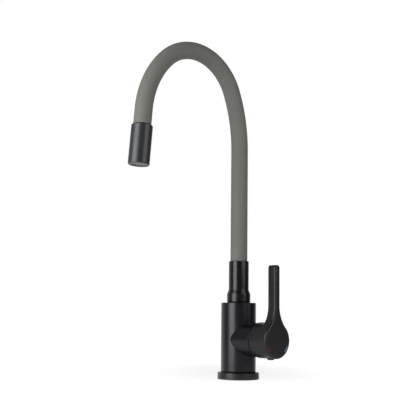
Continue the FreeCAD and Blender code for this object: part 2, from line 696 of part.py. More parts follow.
def mark(label, side):
    # A short arc on the front face, low on one side of it.
    middle = Vector(HANDLE_FRONT, 0, HANDLE_AXIS)

    def spot(radius, angle):
        turned = math.radians(angle)
        return middle + Vector(0, side * radius * math.sin(turned), -radius * math.cos(turned))

    half_way = (sheet.mark_start + sheet.mark_end) / 2
    inner, outer = sheet.mark_inner, sheet.mark_outer
    first, last = sheet.mark_start, sheet.mark_end
    edges = [
        Part.Arc(spot(inner, first), spot(inner, half_way), spot(inner, last)).toShape(),
        Part.LineSegment(spot(inner, last), spot(outer, last)).toShape(),
        Part.Arc(spot(outer, last), spot(outer, half_way), spot(outer, first)).toShape(),
        Part.LineSegment(spot(outer, first), spot(inner, first)).toShape(),
    ]
    feature = doc.addObject("Part::Feature", label)
    feature.Shape = Part.Face(Part.Wire(edges)).extrude(Vector(sheet.mark_thickness, 0, 0))
    pieces[label] = feature


mark("hot_mark", -1)
mark("cold_mark", 1)

# Spout collar with its spigot, seals, slip washer and hose tail

spigot = "spout_socket - swivel_fit"
collar = turned_up("spout_collar", [
    (spigot_end, "waterway"),
    (spigot_end, spigot),
    (collar_foot, spigot),
    (collar_foot, "collar_bulge - collar_round"),
    (collar_foot + " + collar_round", "collar_bulge"),
    (bulge_top, "collar_bulge"),
    (flare_top, "collar_radius"),
    (collar_top + " - collar_round", "collar_radius"),
    (collar_top, "collar_radius - collar_round"),
    (collar_top, "sleeve_radius + sleeve_gap"),
    (tail_seat, "sleeve_radius + sleeve_gap"),
    (tail_seat, "waterway"),
])
COLLAR_FOOT = sheet.body_top + sheet.washer_thickness
BULGE_TOP = COLLAR_FOOT + sheet.bulge_height
FLARE_TOP = BULGE_TOP + sheet.flare_height
soften(collar, "flare_round", outer_ring(BULGE_TOP, sheet.collar_bulge))
soften(collar, "flare_round", outer_ring(FLARE_TOP, sheet.collar_radius))
GROOVES = [(ring_lower, "ring_section", "ring_groove"),
           (ring_upper, "ring_section", "ring_groove"),
           (catch_height, "catch_tip", "catch_groove")]
for height, half, depth in GROOVES:
    groove_sketch = new_sketch(collar, "XZ_Plane")
    low = "%s - %s - running_gap" % (height, half)
    high = "%s + %s + running_gap" % (height, half)
    outline(groove_sketch, [(depth, low), ("spout_socket", low), ("spout_socket", high), (depth, high)])
    before_groove = collar.Shape.Volume
    cut_checked(collar, before_groove, turn(collar, groove_sketch, "V_Axis", "PartDesign::Groove"))

rings = []
for number, height in enumerate((ring_lower, ring_upper), 1):
    seal = doc.addObject("Part::Torus", "spout_seal_%d" % number)
    seal.setExpression("Radius1", bound("ring_groove + fit_gap / 2 + ring_section"))
    seal.setExpression("Radius2", bound("ring_section"))
    seal.setExpression("Placement.Base.z", bound(height))
    rings.append(seal)
ring_group = doc.addObject("Part::Compound", "spout_o_rings")
ring_group.Links = rings
pieces["spout_o_rings"] = ring_group

turned_up("slip_washer", [
    ("body_top", "spout_socket + running_gap"),
    ("body_top", "spout_socket + running_gap + washer_width"),
    (collar_foot, "spout_socket + running_gap + washer_width"),
    (collar_foot, "spout_socket + running_gap"),
])


def barbs(root, sign):
    # Saw-tooth outline of a barbed end that starts at root and runs up (+) or down (-).
    points = []
    for i in range(int(sheet.barb_count)):
        foot = "%s %s barb_length * %d / barb_count" % (root, sign, i)
        tip = "%s %s barb_length * %d / barb_count" % (root, sign, i + 1)
        points.append((foot, "barb_radius"))
        points.append((tip, "barb_radius - barb_depth"))
    return points


turned_up("hose_tail", [
    (tail_seat + " - tail_thread", "tail_bore"),
    (tail_seat + " - tail_thread", "waterway - fit_gap"),
    (tail_seat, "waterway - fit_gap"),
    (tail_seat, "sleeve_radius"),
    (tail_top, "sleeve_radius"),
] + barbs(tail_top, "+") + [(tail_top + " + barb_length", "tail_bore")])


# Flexible spout: one route in the plane x = 0, a straight rise, three tangent bends and a straight end

COLLAR_TOP = FLARE_TOP + sheet.tube_height
HOSE_START = sheet.tail_rise + sheet.tail_flange - sheet.tube_height
BENDS = [
    (0.0, sheet.rise_length),
    (sheet.rise_radius, math.radians(sheet.rise_turn) * sheet.rise_radius),
    (sheet.crown_radius, math.radians(sheet.crown_turn) * sheet.crown_radius),
    (sheet.fall_radius, math.radians(sheet.fall_turn) * sheet.fall_radius),
    (0.0, sheet.fall_length),
]
FREE_LENGTH = sum(length for _, length in BENDS)


def route(distance):
    # Point and turn from upright at a distance along the spout, counted from the collar's top.
    place = Vector(0, 0, COLLAR_TOP)
    turned = 0.0
    left = distance
    for number, (radius, length) in enumerate(BENDS):
        last = number == len(BENDS) - 1
        part = left if last else min(left, length)
        if radius:
            centre = place + Vector(0, -math.cos(turned), -math.sin(turned)) * radius
            turned += part / radius
            place = centre + Vector(0, math.cos(turned), math.sin(turned)) * radius
        else:
            place = place + Vector(0, -math.sin(turned), math.cos(turned)) * part
        left -= part
        if left <= 0:
            break
    return place, turned


def route_wire(start, end):
    edges = []
    begin = 0.0
    for number, (radius, length) in enumerate(BENDS):
        low = max(start, begin) if number else start
        high = end if number == len(BENDS) - 1 else min(end, begin + length)
        if high - low > 1e-6:
            first = route(low)[0]
            last = route(high)[0]
            if radius:
                edges.append(Part.Arc(first, route((low + high) / 2)[0], last).toShape())
            else:
                edges.append(Part.LineSegment(first, last).toShape())
        begin += length
    return Part.Wire(edges)


def tube(label, outer, inner, start, end):
    wire = route_wire(start, end)
    place, turned = route(start)
    heading = Vector(0, -math.sin(turned), math.cos(turned))
    skin = wire.makePipe(Part.Face(Part.Wire(Part.makeCircle(outer, place, heading))))
    hollow = wire.makePipe(Part.Face(Part.Wire(Part.makeCircle(inner, place, heading))))
    feature = doc.addObject("Part::Feature", label)
    feature.Shape = skin.cut(hollow)
    expected = math.pi * (outer ** 2 - inner ** 2) * wire.Length
    if abs(feature.Shape.Volume / expected - 1) > 0.001:
        raise RuntimeError("%s has volume %.0f instead of %.0f" % (label, feature.Shape.Volume, expected))
    pieces[label] = feature


LAYERS = [
    ("sleeve_section", sheet.sleeve_radius, sheet.sleeve_bore),
    ("gooseneck_section", sheet.gooseneck_radius, sheet.gooseneck_bore),
    ("water_hose_section", sheet.hose_radius, sheet.hose_bore),
]
for number in range(1, HOSE_SECTIONS + 1):
    section_start = FREE_LENGTH * (number - 1) / HOSE_SECTIONS
    section_end = FREE_LENGTH * number / HOSE_SECTIONS
    if number == 1:
        section_start = HOSE_START
    if number == HOSE_SECTIONS:
        section_end = FREE_LENGTH + sheet.nozzle_entry
    for name, outer, inner in LAYERS:
        tube("%s_%d" % (name, number), outer, inner, section_start, section_end)
    hinge, lean = route(section_end)
    print("section %d ends at y %.3f z %.3f, turned %.3f degrees"
          % (number, hinge.y, hinge.z, math.degrees(lean)))

# Nozzle: shell, hose end fitting and aerator, drawn along the flow from the nozzle's top

NOZZLE_TOP, NOZZLE_TURN = route(FREE_LENGTH)
NOZZLE_PLACE = Placement(NOZZLE_TOP, Rotation(Vector(1, 0, 0), math.degrees(NOZZLE_TURN)))
print("nozzle top at y %.3f z %.3f, turned %.3f degrees"
      % (NOZZLE_TOP.y, NOZZLE_TOP.z, math.degrees(NOZZLE_TURN)))

ledge = "nozzle_entry + fitting_flange"
aerator_seat = "nozzle_length - aerator_depth"
sleeve_hole = "sleeve_radius + sleeve_gap"
shell = turned_up("nozzle_shell", [
    ("0", sleeve_hole),
    ("0", "nozzle_radius - nozzle_shoulder"),
    ("nozzle_shoulder", "nozzle_radius"),
    ("nozzle_length - nozzle_round", "nozzle_radius"),
    ("nozzle_length", "nozzle_radius - nozzle_round"),
    ("nozzle_length", "aerator_radius"),
    (aerator_seat, "aerator_radius"),
    (aerator_seat, "fitting_radius + fit_gap"),
    (ledge, "fitting_radius + fit_gap"),
    (ledge, sleeve_hole),
])

fitting = turned_up("hose_end_fitting", [
    (ledge + " + fitting_tail", "tail_bore"),
    (ledge + " + fitting_tail", "fitting_radius"),
    (ledge, "fitting_radius"),
    (ledge, "sleeve_radius"),
    ("nozzle_entry", "sleeve_radius"),
] + barbs("nozzle_entry", "-") + [("nozzle_entry - barb_length", "tail_bore")])

gasket_end = aerator_seat + " + aerator_gasket_height"
seal = turned_up("aerator_gasket", [
    (aerator_seat, "fitting_radius + fit_gap"),
    (aerator_seat, "aerator_radius - fit_gap"),
    (gasket_end, "aerator_radius - fit_gap"),
    (gasket_end, "fitting_radius + fit_gap"),
])

aerator_end = "nozzle_length - aerator_recess"
lip = "insert_radius + fit_gap"
cup = turned_up("aerator_housing", [
    (gasket_end, "fitting_radius + fit_gap"),
    (gasket_end, "aerator_radius - fit_gap"),
    (aerator_end, "aerator_radius - fit_gap"),
    (aerator_end, lip),
    (aerator_end + " - insert_recess - insert_height", lip),
    (aerator_end + " - insert_recess - insert_height", "fitting_radius + fit_gap"),
])

insert_end = aerator_end + " - insert_recess"
insert = turned_up("aerator_insert", [
    (insert_end + " - insert_height", "0"),
    (insert_end + " - insert_height", "insert_radius"),
    (insert_end, "insert_radius"),
    (insert_end, "0"),
])
bore(insert, "XY_Plane", insert_end, "0", "0", "jet_radius", "insert_height")
for step in range(1, JET_RINGS + 1):
    jet_sketch = new_sketch(insert, "XY_Plane", insert_end)
    for across, along in around("jet_ring * %d" % step, 6 * step):
        ring(jet_sketch, across, along, "jet_radius")
    pocket(insert, jet_sketch, "insert_height")

for body in (shell, fitting, seal, cup, insert):
    body.Placement = NOZZLE_PLACE

# Nothing is written until every object and every solid is sound

doc.recompute()
for item in doc.Objects:
    if "Invalid" in item.State or "Error" in item.State:
        raise RuntimeError("%s failed" % item.Label)
os.makedirs("parts", exist_ok=True)
for label, item in pieces.items():
    shape = item.Shape
    if shape.isNull() or not shape.isValid() or not shape.Solids:
        raise RuntimeError("%s has no sound solid" % label)
for label, item in pieces.items():
    item.Shape.exportStep("parts/%s.step" % label)
    box = item.Shape.BoundBox
    print("%s: %d solid(s), %.0f mm3, x %.2f..%.2f y %.2f..%.2f z %.2f..%.2f" % (
        label, len(item.Shape.Solids), item.Shape.Volume,
        box.XMin, box.XMax, box.YMin, box.YMax, box.ZMin, box.ZMax))
print(len(pieces), "sub-parts written")
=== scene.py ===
import json
import math

import bpy
import numpy as np
from mathutils import Matrix, Vector


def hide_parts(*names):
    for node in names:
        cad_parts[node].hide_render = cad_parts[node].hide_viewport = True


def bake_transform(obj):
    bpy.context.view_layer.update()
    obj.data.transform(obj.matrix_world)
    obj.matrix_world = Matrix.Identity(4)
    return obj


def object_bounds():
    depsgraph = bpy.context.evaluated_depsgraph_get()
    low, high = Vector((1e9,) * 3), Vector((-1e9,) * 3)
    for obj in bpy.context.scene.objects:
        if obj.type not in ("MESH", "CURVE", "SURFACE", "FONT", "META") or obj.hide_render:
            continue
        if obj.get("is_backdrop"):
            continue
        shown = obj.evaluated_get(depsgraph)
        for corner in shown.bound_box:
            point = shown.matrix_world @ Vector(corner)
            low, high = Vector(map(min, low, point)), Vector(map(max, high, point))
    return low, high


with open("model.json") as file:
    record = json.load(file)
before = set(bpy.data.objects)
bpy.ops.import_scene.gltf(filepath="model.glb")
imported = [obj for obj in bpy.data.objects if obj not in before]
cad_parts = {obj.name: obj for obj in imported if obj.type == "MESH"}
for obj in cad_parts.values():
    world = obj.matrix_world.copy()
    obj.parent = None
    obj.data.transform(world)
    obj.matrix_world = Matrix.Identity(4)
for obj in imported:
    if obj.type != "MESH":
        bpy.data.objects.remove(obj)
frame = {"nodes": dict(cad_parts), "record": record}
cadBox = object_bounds()
cadNodes = frame["nodes"]


# Shader sockets as values: arithmetic on a Wire adds Math nodes to its tree.
class Wire:
    def __init__(self, tree, socket=None):
        self.tree = tree
        self.socket = socket

    def port(self, ports, key):  # by number, identifier or name
        if isinstance(key, int):
            return ports[key]
        return next(port for port in ports if key in (port.identifier, port.name))

    def node(self, kind, settings=None, sockets=None, out=0):  # settings first, then values and links
        made = self.tree.nodes.new(kind)
        for key, value in (settings or {}).items():
            setattr(made, key, value)
        for key, value in (sockets or {}).items():
            port = self.port(made.inputs, key)
            if isinstance(value, Wire):
                self.tree.links.new(value.socket, port)
            else:
                port.default_value = value
        return Wire(self.tree, self.port(made.outputs, out)) if made.outputs else None

    def maths(self, operation, first, second=0.0):
        return self.node("ShaderNodeMath", {"operation": operation}, {0: first, 1: second})

    def __add__(self, other):
        return self.maths("ADD", self, other)

    def __sub__(self, other):
        return self.maths("SUBTRACT", self, other)

    def __rsub__(self, other):
        return self.maths("SUBTRACT", other, self)

    def __mul__(self, other):
        return self.maths("MULTIPLY", self, other)

    __radd__ = __add__
    __rmul__ = __mul__


def newFinish(name):
    made = bpy.data.materials.new(name)
    made.use_nodes = True
    made.node_tree.nodes.clear()
    return made, Wire(made.node_tree)


def closeFinish(at, sockets):
    shader = at.node("ShaderNodeBsdfPrincipled", sockets=sockets, out="BSDF")
    at.node("ShaderNodeOutputMaterial", sockets={"Surface": shader})


def objectPlace(at):
    return at.node("ShaderNodeTexCoord", out="Object")


def noise(at, place, scale, detail):
    texture = {"Vector": place, "Scale": scale, "Detail": detail}
    return at.node("ShaderNodeTexNoise", sockets=texture, out="Fac")


def swing(value, spread):  # a noise lies about one half
    return (value - 0.5) * spread


def mixTone(at, share, first, second):
    tones = {"Factor_Float": share, "A_Color": (*first, 1.0), "B_Color": (*second, 1.0)}
    return at.node("ShaderNodeMix", {"data_type": "RGBA"}, tones, "Result_Color")


reliefDepth = 0.0001  # metres, at full swell


def relief(at, height, swell):
    bump = {"Strength": swell, "Distance": reliefDepth, "Height": height}
    return at.node("ShaderNodeBump", sockets=bump, out="Normal")


# Satin black coat: cloudy tone, a faint orange-peel swell and fine grain, on Object coordinates in metres.
# Its tint turns its reflections a little blue: painted cool light.
coatLooks = {
    "black_body": {
        "dark": (0.0040, 0.0040, 0.0054), "light": (0.0060, 0.0060, 0.0078), "tint": (0.91, 0.93, 1.0),
        "rough": 0.30, "spread": 0.06, "shine": 0.62,
        "cloud": 26.0, "peel": 620.0, "grain": 3600.0, "swell": 0.10},
    "black_handle": {
        "dark": (0.0108, 0.0108, 0.0118), "light": (0.0150, 0.0150, 0.0163), "tint": (0.94, 0.96, 1.0),
        "rough": 0.35, "spread": 0.06, "shine": 0.54,
        "cloud": 30.0, "peel": 560.0, "grain": 3600.0, "swell": 0.09},
    "black_trim": {
        "dark": (0.0046, 0.0048, 0.0055), "light": (0.0066, 0.0069, 0.0078), "tint": (0.94, 0.97, 1.0),
        "rough": 0.27, "spread": 0.05, "shine": 0.54,
        "cloud": 34.0, "peel": 700.0, "grain": 4200.0, "swell": 0.06},
    "nozzleCoat": {
        "dark": (0.0135, 0.0148, 0.0156), "light": (0.0180, 0.0196, 0.0206), "tint": (0.94, 0.97, 1.0),
        "rough": 0.43, "spread": 0.06, "shine": 0.90,
        "cloud": 34.0, "peel": 640.0, "grain": 4000.0, "swell": 0.07},
    # The flange's copy of the body coat, a little lighter and shinier: painted light for its brighter look
    # by the floor.
    "flangeLitCopy": {
        "dark": (0.0050, 0.0050, 0.0054), "light": (0.0074, 0.0074, 0.0080), "tint": (0.97, 0.98, 1.0),
        "rough": 0.32, "spread": 0.06, "shine": 0.80,
        "cloud": 26.0, "peel": 620.0, "grain": 3600.0, "swell": 0.10},
}
coatMix = {"cloudDetail": 3.0, "fineDetail": 1.0, "peelShare": 0.7, "grainShare": 0.3}  # shares in the swell


def coatFinish(name, look):
    made, at = newFinish(name)
    place = objectPlace(at)
    cloud = noise(at, place, look["cloud"], coatMix["cloudDetail"])
    peel = noise(at, place, look["peel"], coatMix["fineDetail"])
    grain = noise(at, place, look["grain"], coatMix["fineDetail"])
    height = peel * coatMix["peelShare"] + grain * coatMix["grainShare"]
    closeFinish(at, {
        "Base Color": mixTone(at, cloud, look["dark"], look["light"]),
        "Roughness": swing(cloud, look["spread"]) + swing(grain, look["spread"]) + look["rough"],
        "Specular IOR Level": look["shine"],
        # painted cool light: reflections tinted a little blue
        "Specular Tint": (*look["tint"], 1.0),
        "Normal": relief(at, height, look["swell"]),
    })
    return made


# Silicone of the sleeve, on its own wrap map: u once round, v metres along, so the pattern bends with the
# spout. A noise is given by its scale and detail, and the streaks are one drawn out along the sleeve.
siliconeLook = {
    "dark": (0.150, 0.152, 0.136), "light": (0.179, 0.181, 0.163), "rough": 0.70, "spread": 0.10,
    "mottle": (55.0, 4.0), "streak": (900.0, 1.0), "grain": (2600.0, 2.0), "stretch": 0.02,
    "toneShares": (0.6, 0.25, 0.15), "swellShares": (0.2, 0.8), "swell": 0.16,
    "sheen": 0.03, "sheenRough": 0.45,
}


def siliconeFinish(name, look, radius):
    made, at = newFinish(name)
    wrap = at.node("ShaderNodeUVMap", {"uv_map": "wrap"}, out="UV")
    turn = at.node("ShaderNodeSeparateXYZ", sockets={"Vector": wrap}, out="X") * (2 * math.pi)
    along = at.node("ShaderNodeSeparateXYZ", sockets={"Vector": wrap}, out="Y")
    across = at.maths("COSINE", turn) * radius
    back = at.maths("SINE", turn) * radius
    skin, drawn = [at.node("ShaderNodeCombineXYZ", sockets={"X": across, "Y": back, "Z": run})
                   for run in (along, along * look["stretch"])]
    mottle = noise(at, skin, *look["mottle"])
    streak = noise(at, drawn, *look["streak"])
    grain = noise(at, skin, *look["grain"])
    mottleTone, streakTone, grainTone = look["toneShares"]
    streakSwell, grainSwell = look["swellShares"]
    share = mottle * mottleTone + streak * streakTone + grain * grainTone
    height = grain * grainSwell + streak * streakSwell
    closeFinish(at, {
        "Base Color": mixTone(at, share, look["dark"], look["light"]),
        "Roughness": swing(mottle, look["spread"]) + swing(grain, look["spread"]) + look["rough"],
        "Sheen Weight": look["sheen"],
        "Sheen Roughness": look["sheenRough"],
        "Normal": relief(at, height, look["swell"]),
    })
    return made


# Moulded, pressed and printed pieces: two tones mixed by a cloud and by the moulding's grain.
mouldedLooks = {
    "water_hose": {
        "dark": (0.68, 0.68, 0.65), "light": (0.78, 0.78, 0.75), "rough": 0.45, "shine": 0.50,
        "cloud": 40.0, "grain": 1500.0, "swell": 0.10},
    "valve_plastic": {
        "dark": (0.54, 0.54, 0.51), "light": (0.64, 0.64, 0.61), "rough": 0.50, "shine": 0.50,
        "cloud": 60.0, "grain": 2200.0, "swell": 0.12},
    "ceramic": {
        "dark": (0.80, 0.78, 0.72), "light": (0.88, 0.86, 0.81), "rough": 0.14, "shine": 0.50,
        "cloud": 70.0, "grain": 5200.0, "swell": 0.02},
    # Near black and dull; the joint ring between the flange and the body takes it and shows as a dark line
    # there.
    "seal_rubber": {
        "dark": (0.005, 0.005, 0.005), "light": (0.009, 0.009, 0.009), "rough": 0.80, "shine": 0.15,
        "cloud": 90.0, "grain": 2800.0, "swell": 0.20},
    "black_plastic": {
        "dark": (0.012, 0.012, 0.013), "light": (0.019, 0.019, 0.021), "rough": 0.46, "shine": 0.50,
        "cloud": 80.0, "grain": 3000.0, "swell": 0.16},
    # Near black and dull, for the slip washer under the collar and the cartridge cap at the bottom of the
    # hub's seam: painted shade, so these gaps read as dark lines.
    "paintedGapShade": {
        "dark": (0.005, 0.005, 0.006), "light": (0.009, 0.009, 0.010), "rough": 0.75, "shine": 0.15,
        "cloud": 80.0, "grain": 3000.0, "swell": 0.16},
    "hot_red": {
        "dark": (0.090, 0.010, 0.015), "light": (0.125, 0.014, 0.021), "rough": 0.42, "shine": 0.50,
        "cloud": 400.0, "grain": 5200.0, "swell": 0.08},
    "cold_blue": {
        "dark": (0.10, 0.25, 0.30), "light": (0.14, 0.33, 0.39), "rough": 0.42, "shine": 0.50,
        "cloud": 400.0, "grain": 5200.0, "swell": 0.08},
    "aerator_grey": {
        "dark": (0.17, 0.17, 0.18), "light": (0.24, 0.24, 0.25), "rough": 0.40, "shine": 0.50,
        "cloud": 120.0, "grain": 2600.0, "swell": 0.10},
}
mouldedMix = {"cloudDetail": 3.0, "grainDetail": 2.0, "cloudShare": 0.7, "grainShare": 0.3, "spread": 0.12}


def mouldedFinish(name, look):
    made, at = newFinish(name)
    place = objectPlace(at)
    cloud = noise(at, place, look["cloud"], mouldedMix["cloudDetail"])
    grain = noise(at, place, look["grain"], mouldedMix["grainDetail"])
    share = cloud * mouldedMix["cloudShare"] + grain * mouldedMix["grainShare"]
    closeFinish(at, {
        "Base Color": mixTone(at, share, look["dark"], look["light"]),
        "Roughness": swing(grain, mouldedMix["spread"]) + look["rough"],
        "Specular IOR Level": look["shine"],
        "Normal": relief(at, grain, look["swell"]),
    })
    return made


# Bare metal: tool marks as noise squeezed along one direction of the piece.
metalLooks = {
    "conduit_steel": {
        "dark": (0.38, 0.38, 0.39), "light": (0.50, 0.50, 0.51), "rough": 0.32,
        "squeeze": (1.0, 1.0, 30.0), "marks": 120.0},
    "brass": {
        "dark": (0.60, 0.45, 0.20), "light": (0.76, 0.58, 0.29), "rough": 0.26,
        "squeeze": (24.0, 1.0, 1.0), "marks": 90.0},
    "screw_steel": {
        "dark": (0.26, 0.26, 0.27), "light": (0.40, 0.40, 0.41), "rough": 0.34,
        "squeeze": (1.0, 24.0, 1.0), "marks": 150.0},
}
metalMix = {"marksDetail": 4.0, "spread": 0.2, "swell": 0.08}


def metalFinish(name, look):
    made, at = newFinish(name)
    squeezed = at.node("ShaderNodeMapping", sockets={"Vector": objectPlace(at), "Scale": look["squeeze"]},
                       out="Vector")
    marks = noise(at, squeezed, look["marks"], metalMix["marksDetail"])
    closeFinish(at, {
        "Base Color": mixTone(at, marks, look["dark"], look["light"]),
        "Roughness": swing(marks, metalMix["spread"]) + look["rough"],
        "Metallic": 1.0,
        "Normal": relief(at, marks, metalMix["swell"]),
    })
    return made


# The spout's centre line in the plane x = 0: its heading grows evenly through each bend, given by radius
# and degrees, and holds on the straights. Its points are the running sum of (-sin, cos) of that heading.
spout = {
    "foot": 0.1412, "rise": 0.1365, "fall": 0.0177,
    "bends": ((0.184, 22.5), (0.0663, 110.0), (0.102, 42.5)),
    "inCollar": 0.0252, "inNozzle": 0.0100, "bendInset": 0.006, "sharpAngle": 40.0,
    "tableStep": 0.0001, "tableSpare": 0.01,
    "bodies": ("spout_base", "spout_2", "spout_3", "spout_4", "spout_5", "nozzle"),
}
bendLengths = [radius * math.radians(turn) for radius, turn in spout["bends"]]
runEnds = np.cumsum([0.0, spout["rise"], *bendLengths, spout["fall"]])
runTurns = np.radians(np.cumsum([0.0, 0.0, *(turn for _, turn in spout["bends"]), 0.0]))
freeLength = runEnds[-1]
tableStart = -spout["inCollar"] - spout["tableSpare"]
tableEnd = freeLength + spout["inNozzle"] + spout["tableSpare"]
tableAt = np.arange(tableStart, tableEnd, spout["tableStep"])
midTurn = np.interp(tableAt[:-1] + spout["tableStep"] / 2, runEnds, runTurns)
tableY = np.concatenate([[0.0], np.cumsum(-np.sin(midTurn) * spout["tableStep"])])
tableZ = np.concatenate([[0.0], np.cumsum(np.cos(midTurn) * spout["tableStep"])])
tableY -= np.interp(0.0, tableAt, tableY)
tableZ += spout["foot"] - np.interp(0.0, tableAt, tableZ)


def spoutLine(distance):  # y, z and heading at a distance from the foot
    y, z = np.interp(distance, tableAt, tableY), np.interp(distance, tableAt, tableZ)
    return y, z, np.interp(distance, runEnds, runTurns)


# Layers of the spout from the outside in. Twist is a wound layer's pitch, and dip the depth of its groove.
spoutLayers = {
    "sleeve": {
        "node": "sleeve_section", "slot": "grey_silicone", "radius": 0.0103, "bore": 0.0069, "sides": 96,
        "ringStep": 0.0011, "boreStep": 0.0030, "twist": 0.0, "dip": 0.0},
    "gooseneck": {
        "node": "gooseneck_section", "slot": "conduit_steel", "radius": 0.0066, "bore": 0.0055, "sides": 48,
        "ringStep": 0.0008, "boreStep": 0.0030, "twist": 0.0048, "dip": 0.00035},
    "waterHose": {
        "node": "water_hose_section", "slot": "water_hose", "radius": 0.0052, "bore": 0.0036, "sides": 40,
        "ringStep": 0.0030, "boreStep": 0.0030, "twist": 0.0, "dip": 0.0},
}


def gridMesh(name, points, mapU, mapV):
    # A grid of points, rows by columns, closed both ways; its map has one more line each way than the grid.
    rows, columns = points.shape[:2]
    row, column = np.meshgrid(np.arange(rows), np.arange(columns), indexing="ij")
    nextRow, nextColumn = (row + 1) % rows, (column + 1) % columns
    corners = np.stack([row * columns + column, nextRow * columns + column,
                        nextRow * columns + nextColumn, row * columns + nextColumn], -1).reshape(-1, 4)
    made = bpy.data.meshes.new(name)
    made.from_pydata(points.reshape(-1, 3), [], corners.tolist())
    wrapU = np.stack([mapU[column], mapU[column], mapU[column + 1], mapU[column + 1]], -1)
    wrapV = np.stack([mapV[row], mapV[row + 1], mapV[row + 1], mapV[row]], -1)
    wrap = np.stack([wrapU, wrapV], -1).astype(np.float32)
    made.uv_layers.new(name="wrap").data.foreach_set("uv", wrap.ravel())
    made.polygons.foreach_set("use_smooth", np.ones(len(corners), bool))
    made.update()
    made.set_sharp_from_angle(angle=math.radians(spout["sharpAngle"]))
    piece = bpy.data.objects.new(name, made)
    bpy.context.scene.collection.objects.link(piece)
    return piece


def tubePiece(name, layer, start, end):
    # A ring carried along the centre line, out along the skin and back along the bore: each point is
    # centre + radius * (cos a across + sin a towards the inside of the arch). A wound layer's skin dips
    # once a pitch, by the fourth power of a cosine of (distance / pitch + turns round).
    skin = np.linspace(start, end, round((end - start) / layer["ringStep"]))
    bore = np.linspace(end, start, round((end - start) / layer["boreStep"]))
    distance = np.concatenate([skin, bore])
    onSkin = np.concatenate([np.ones(len(skin)), np.zeros(len(bore))])
    angle = np.linspace(0, 2 * np.pi, layer["sides"], endpoint=False)
    radius = np.where(onSkin, layer["radius"], layer["bore"])[:, None] + 0 * angle
    if layer["twist"]:
        wound = np.cos(np.pi * distance[:, None] / layer["twist"] + angle / 2) ** 4
        radius = radius - onSkin[:, None] * layer["dip"] * wound
    y, z, turn = [line[:, None] for line in spoutLine(distance)]
    inward = radius * np.sin(angle)
    points = np.stack([radius * np.cos(angle), y - inward * np.cos(turn), z - inward * np.sin(turn)], -1)
    return gridMesh(name, points, np.linspace(0, 1, layer["sides"] + 1), np.append(distance, distance[-1]))


# Each piece spans one joint, from the middle of a section to the middle of the next. The first starts in the
# collar's socket and the last ends in the nozzle's.
sections = len(spout["bodies"])
sectionLength = freeLength / sections
spoutPieces = []
for joint in range(1, sections):
    near, far = (joint - 0.5) * sectionLength, (joint + 0.5) * sectionLength
    isFirst, isLast = joint == 1, joint == sections - 1
    start = -spout["inCollar"] if isFirst else near
    end = freeLength + spout["inNozzle"] if isLast else far
    for layerName, layer in spoutLayers.items():
        piece = tubePiece("%s_%d" % (layerName, joint), layer, start, end)
        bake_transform(piece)
        stoodFor = [joint, joint + 1] if isLast else [joint]
        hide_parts(*("%s_%d" % (layer["node"], section) for section in stoodFor))
        spoutPieces.append((piece, layer["slot"]))
print("spout:", len(spoutPieces), "pieces over", round(freeLength * 1000), "mm of free hose")

finishes = {"grey_silicone": siliconeFinish("grey_silicone", siliconeLook, spoutLayers["sleeve"]["radius"])}
finishes.update({name: coatFinish(name, look) for name, look in coatLooks.items()})
finishes.update({name: mouldedFinish(name, look) for name, look in mouldedLooks.items()})
finishes.update({name: metalFinish(name, look) for name, look in metalLooks.items()})
# The flange's finish is painted light; the washer's and the cap's are painted shade.
ownFinish = {"nozzle_shell": "nozzleCoat", "base_flange": "flangeLitCopy",  # unlike the rest of their slot
             "slip_washer": "paintedGapShade", "cartridge_cap": "paintedGapShade"}
shown = [(cadNodes[row["node"]], ownFinish.get(row["node"], row["material_slot"]))
         for row in frame["record"]["subparts"]]
for piece, finishName in shown + spoutPieces:
    piece.data.materials.clear()
    piece.data.materials.append(finishes[finishName])
print("finishes:", len(finishes), "on", len(shown) + len(spoutPieces), "pieces")

# Camera: stands off at a bearing from -Y towards +X, swung and tilted from the line to the body's axis.
camera = {"lens": 80.0, "sensor": 36.0, "clip": (0.05, 50.0), "bearing": 45.27, "distance": 1.08655,
          "height": 0.07862, "tilt": 7.22, "swing": 2.55, "roll": 0.66}


def stageSpot(bearing, distance, height):  # a bearing is counted from the camera's, to its right
    turn = math.radians(camera["bearing"] + bearing)
    return Vector((math.sin(turn) * distance, -math.cos(turn) * distance, height))


def placeCamera(look):
    heading = math.radians(look["bearing"] + look["swing"])
    tilt, roll = math.radians(look["tilt"]), math.radians(look["roll"])
    ahead = Vector((-math.sin(heading) * math.cos(tilt), math.cos(heading) * math.cos(tilt),
                    math.sin(tilt)))
    level = Vector((math.cos(heading), math.sin(heading), 0.0))
    upright = level.cross(ahead)
    right = level * math.cos(roll) + upright * math.sin(roll)
    up = upright * math.cos(roll) - level * math.sin(roll)
    data = bpy.data.cameras.new("camera")
    data.lens, data.sensor_width = look["lens"], look["sensor"]
    data.clip_start, data.clip_end = look["clip"]
    made = bpy.data.objects.new("camera", data)
    place = stageSpot(0.0, look["distance"], look["height"])
    made.matrix_world = Matrix.Translation(place) @ Matrix((right, up, -ahead)).transposed().to_4x4()
    bpy.context.scene.collection.objects.link(made)
    bpy.context.scene.camera = made


placeCamera(camera)

# Lamps: soft boxes that look level at the tap's axis.
lamps = {
    "leftBox": {"bearing": -46.0, "distance": 0.80, "height": 0.34, "size": (0.52, 0.84), "watts": 6.1},
    "rightBox": {"bearing": 56.0, "distance": 0.70, "height": 0.44, "size": (0.48, 0.63), "watts": 1.85},
}
for name, look in lamps.items():
    data = bpy.data.lights.new(name, "AREA")
    data.shape = "RECTANGLE"
    data.size, data.size_y = look["size"]
    data.energy = look["watts"]
    lamp = bpy.data.objects.new(name, data)
    lamp.location = stageSpot(look["bearing"], look["distance"], look["height"])
    lamp.rotation_mode = "QUATERNION"
    lamp.rotation_quaternion = (-stageSpot(look["bearing"], look["distance"], 0.0)).to_track_quat("-Z", "Y")
    lamp.visible_camera = False
    bpy.context.scene.collection.objects.link(lamp)

